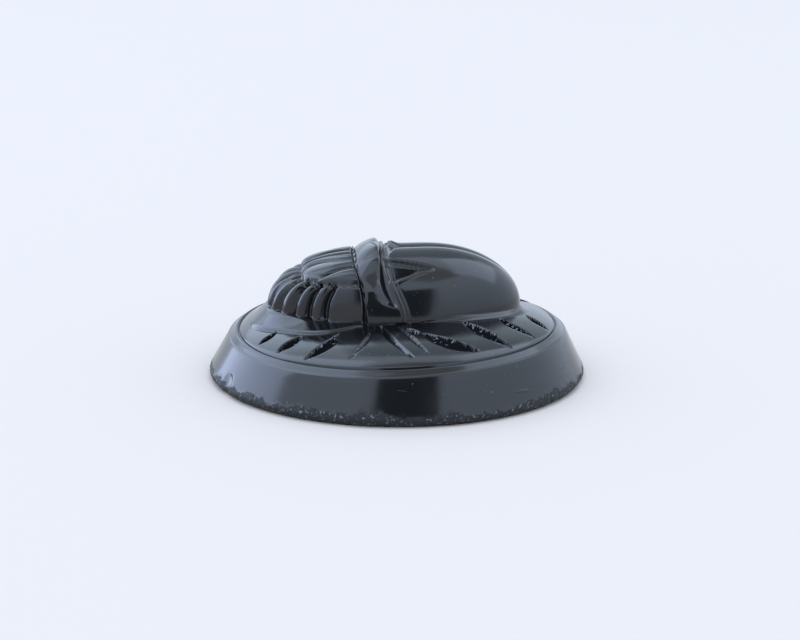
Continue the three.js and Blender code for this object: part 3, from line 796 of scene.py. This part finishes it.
def glass_material():
    """Black pressed glass: glossy, lightly scratched and hazed, and rough along its chipped lower edge."""
    material, tree, shader = new_material("black_glass")
    coords = node(tree, "ShaderNodeTexCoord").outputs["Object"]
    worn, bevel = attribute(tree, "worn"), attribute(tree, "bevel")
    haze = remap(tree, noise_texture(tree, coords, 420, 3, 0.6), 0.35, 0.7, 0.12, 0.19)
    grit = remap(tree, noise_texture(tree, coords, 6000, 2, 0.6), 0.35, 0.65, 0.34, 0.5)
    clean = combine(tree, "SUBTRACT", 1, worn)
    rough = total(tree, product(tree, haze, clean), product(tree, grit, worn))
    tree.links.new(rough, shader.inputs["Roughness"])
    specks = remap(tree, noise_texture(tree, coords, GRAIN_SCALE, 1, 0.5), 0.62, 0.76, 0, 0.35)
    dust = remap(tree, noise_texture(tree, coords, 4600, 1, 0.5), 0.76, 0.79, 0, 0.3)
    pale = total(tree, product(tree, specks, worn), product(tree, dust, clean))
    blend_colour(tree, shader, pale, (0.0045, 0.005, 0.006), PALE_DUST)
    add_bump(tree, shader, fine_height(tree, coords, worn, bevel), 0.6, 0.00005)
    shader.inputs["IOR"].default_value = POLISHED_IOR
    return material


def cut_material():
    """The floor of the leaf cuts: matt, granular black glass, with pale specks painted in as glints off its
    grain.
    """
    material, tree, shader = new_material("cut_glass")
    coords = node(tree, "ShaderNodeTexCoord").outputs["Object"]
    grain = noise_texture(tree, coords, 4200, 3, 0.65)
    tree.links.new(remap(tree, grain, 0.35, 0.65, 0.5, 0.7), shader.inputs["Roughness"])
    # pale specks painted into the colour as glints of light off the granular floor
    specks = remap(tree, noise_texture(tree, coords, 4400, 1, 0.5), 0.64, 0.72, 0, 0.8)
    blend_colour(tree, shader, specks, (0.005, 0.0058, 0.007), (0.26, 0.27, 0.29))
    add_bump(tree, shader, noise_texture(tree, coords, 8000, 2, 0.6), 0.8, 0.00003)
    shader.inputs["IOR"].default_value = CUT_IOR
    return material


def worn_material():
    """The ground and chipped lower edge: dull, granular glass."""
    material, tree, shader = new_material("worn_glass")
    coords = node(tree, "ShaderNodeTexCoord").outputs["Object"]
    grain = noise_texture(tree, coords, GRAIN_SCALE, 3, 0.65)
    tree.links.new(remap(tree, grain, 0.35, 0.65, 0.38, 0.6), shader.inputs["Roughness"])
    specks = remap(tree, noise_texture(tree, coords, 5600, 1, 0.5), 0.6, 0.75, 0, 0.7)
    blend_colour(tree, shader, specks, (0.018, 0.0195, 0.021), PALE_DUST)
    add_bump(tree, shader, grain, 0.8, 0.00007)
    shader.inputs["IOR"].default_value = WORN_IOR
    return material


def metal_material(name, bright, dull, tarnish_scale):
    """Old brass: worn bright in places and tarnished in others, with a finely pitted, uneven surface."""
    material, tree, shader = new_material(name)
    coords = node(tree, "ShaderNodeTexCoord").outputs["Object"]
    tarnish = remap(tree, noise_texture(tree, coords, tarnish_scale, 4, 0.6), 0.4, 0.62, 0, 1)
    blend_colour(tree, shader, tarnish, bright, dull)
    tree.links.new(remap(tree, tarnish, 0, 1, 0.28, 0.55), shader.inputs["Roughness"])
    pits = noise_texture(tree, coords, 3800, 3, 0.6)
    wear = noise_texture(tree, coords, 900, 2, 0.5)
    add_bump(tree, shader, total(tree, pits, wear), 0.5, 0.00003)
    shader.inputs["Metallic"].default_value = 1
    return material


def cement_material():
    """Grey-brown cement around the shank, granular and a little uneven."""
    material, tree, shader = new_material("cement")
    coords = node(tree, "ShaderNodeTexCoord").outputs["Object"]
    blotch = remap(tree, noise_texture(tree, coords, 700, 4, 0.6), 0.35, 0.65, 0, 1)
    blend_colour(tree, shader, blotch, (0.13, 0.115, 0.095), (0.26, 0.235, 0.2))
    add_bump(tree, shader, noise_texture(tree, coords, 3500, 4, 0.65), 0.8, 0.0001)
    shader.inputs["Roughness"].default_value = 0.9
    return material


glass = build_glass()
for made in (glass_material(), cut_material(), worn_material()):
    glass.data.materials.append(made)
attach(glass, "root")
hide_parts("glass_body")

FINISHES = {
    "shank_plate": metal_material("plate_brass", (0.5, 0.36, 0.16), (0.16, 0.11, 0.06), 600),
    "shank_loop": metal_material("wire_brass", (0.56, 0.42, 0.2), (0.2, 0.14, 0.08), 900),
    "shank_cement": cement_material(),
}
for part_name, finish in FINISHES.items():
    part_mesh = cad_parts[part_name].data
    part_mesh.materials.clear()
    part_mesh.materials.append(finish)


# ---- camera ------------------------------------------------------------------------------------------
CAMERA_ELEVATION = math.radians(15)
CAMERA_DISTANCE = 128 * MM
CAMERA_ROLL = math.radians(0.3)
CAMERA_AIM = Vector((0.22, 0, 3.75)) * MM
CAMERA_LENS = 79.9
SENSOR_WIDTH = 36
NEAR_CLIP = 5 * MM

forward = Vector((0, math.cos(CAMERA_ELEVATION), -math.sin(CAMERA_ELEVATION)))
right = Vector((1, 0, 0))
up = right.cross(forward)
tilted_right = right * math.cos(CAMERA_ROLL) + up * math.sin(CAMERA_ROLL)
tilted_up = up * math.cos(CAMERA_ROLL) - right * math.sin(CAMERA_ROLL)
camera = bpy.data.objects.new("camera", bpy.data.cameras.new("camera"))
camera.data.lens = CAMERA_LENS
camera.data.sensor_width = SENSOR_WIDTH
camera.data.clip_start = NEAR_CLIP
bpy.context.scene.collection.objects.link(camera)
placed = Matrix((tilted_right, tilted_up, -forward)).transposed().to_4x4()
placed.translation = CAMERA_AIM - forward * CAMERA_DISTANCE
camera.matrix_world = placed
bpy.context.scene.camera = camera

# ---- floor -------------------------------------------------------------------------------------------
FLOOR_REACH = 2.0
FLOOR_COLOUR = (0.6, 0.541, 0.49, 1)
FLOOR_ROUGHNESS = 0.9
FLOOR_SHINE = 0.1

floor_mesh = bpy.data.meshes.new("floor")
floor_corners = [(x * FLOOR_REACH, y * FLOOR_REACH, 0) for x, y in SQUARE]
floor_mesh.from_pydata(floor_corners, [], [(0, 1, 2, 3)])
floor = bpy.data.objects.new("floor", floor_mesh)
bpy.context.scene.collection.objects.link(floor)
floor_material, _, floor_shader = new_material("floor")
floor_shader.inputs["Base Color"].default_value = FLOOR_COLOUR
floor_shader.inputs["Roughness"].default_value = FLOOR_ROUGHNESS
floor_shader.inputs["Specular IOR Level"].default_value = FLOOR_SHINE
floor_mesh.materials.append(floor_material)

# ---- light -------------------------------------------------------------------------------------------
SKY_LOW, SKY_HIGH = 1.4, 2.25       # brightness at the horizon and overhead
SKY_COLOUR = (0.7, 0.81, 0.985, 1)

scene = bpy.context.scene
scene.view_settings.view_transform = "Standard"
world = bpy.data.worlds.new("studio")
world.use_nodes = True
sky = world.node_tree
direction = sky.nodes.new("ShaderNodeTexCoord").outputs["Generated"]
split = sky.nodes.new("ShaderNodeSeparateXYZ")
sky.links.new(direction, split.inputs[0])
climb = remap(sky, split.outputs["Z"], 0, 1, SKY_LOW, SKY_HIGH)
sky.nodes["Background"].inputs["Color"].default_value = SKY_COLOUR
sky.links.new(climb, sky.nodes["Background"].inputs["Strength"])
scene.world = world


def card(name, centre, width, height, colour, strength):
    """A glowing or dark board around the set, facing the button and seen only in reflections."""
    mesh = bpy.data.meshes.new(name)
    corners = [(x * width / 2, y * height / 2, 0) for x, y in SQUARE]
    mesh.from_pydata(corners, [], [(0, 1, 2, 3)])
    board = bpy.data.objects.new(name, mesh)
    bpy.context.scene.collection.objects.link(board)
    board.location = centre
    board.rotation_euler = (-Vector(centre)).to_track_quat("Z", "Y").to_euler()
    material = bpy.data.materials.new(name)
    material.use_nodes = True
    tree = material.node_tree
    tree.nodes.clear()
    emission = tree.nodes.new("ShaderNodeEmission")
    emission.inputs["Color"].default_value = (*colour, 1)
    emission.inputs["Strength"].default_value = strength
    out = tree.nodes.new("ShaderNodeOutputMaterial")
    tree.links.new(emission.outputs[0], out.inputs[0])
    mesh.materials.append(material)
    board.visible_camera = False
    board.visible_shadow = False
    board.visible_diffuse = False


card("left_window", (-0.45, 0.2, 0.21), 0.52, 0.46, (0.58, 0.69, 0.95), 5)
card("back_window", (-0.2, 0.4, 0.27), 0.3, 0.24, (0.66, 0.8, 1), 2.8)
card("upper_window", (-0.23, 0.08, 0.44), 0.3, 0.26, (0.66, 0.8, 1), 4)
card("back_low", (0.08, 0.46, 0.25), 0.44, 0.2, (0.72, 0.86, 1.0), 1)
card("back_high", (0.07, 0.34, 0.4), 0.34, 0.22, (0.62, 0.74, 0.86), 1)
card("ceiling", (0.07, -0.05, 0.5), 0.22, 0.34, (0.8, 0.83, 0.86), 1)
card("upper_right", (0.26, 0.13, 0.37), 0.3, 0.3, (0.68, 0.8, 1), 3.2)
card("photographer", (0.035, -0.34, 0.17), 0.24, 0.36, (0.1, 0.11, 0.12), 1)
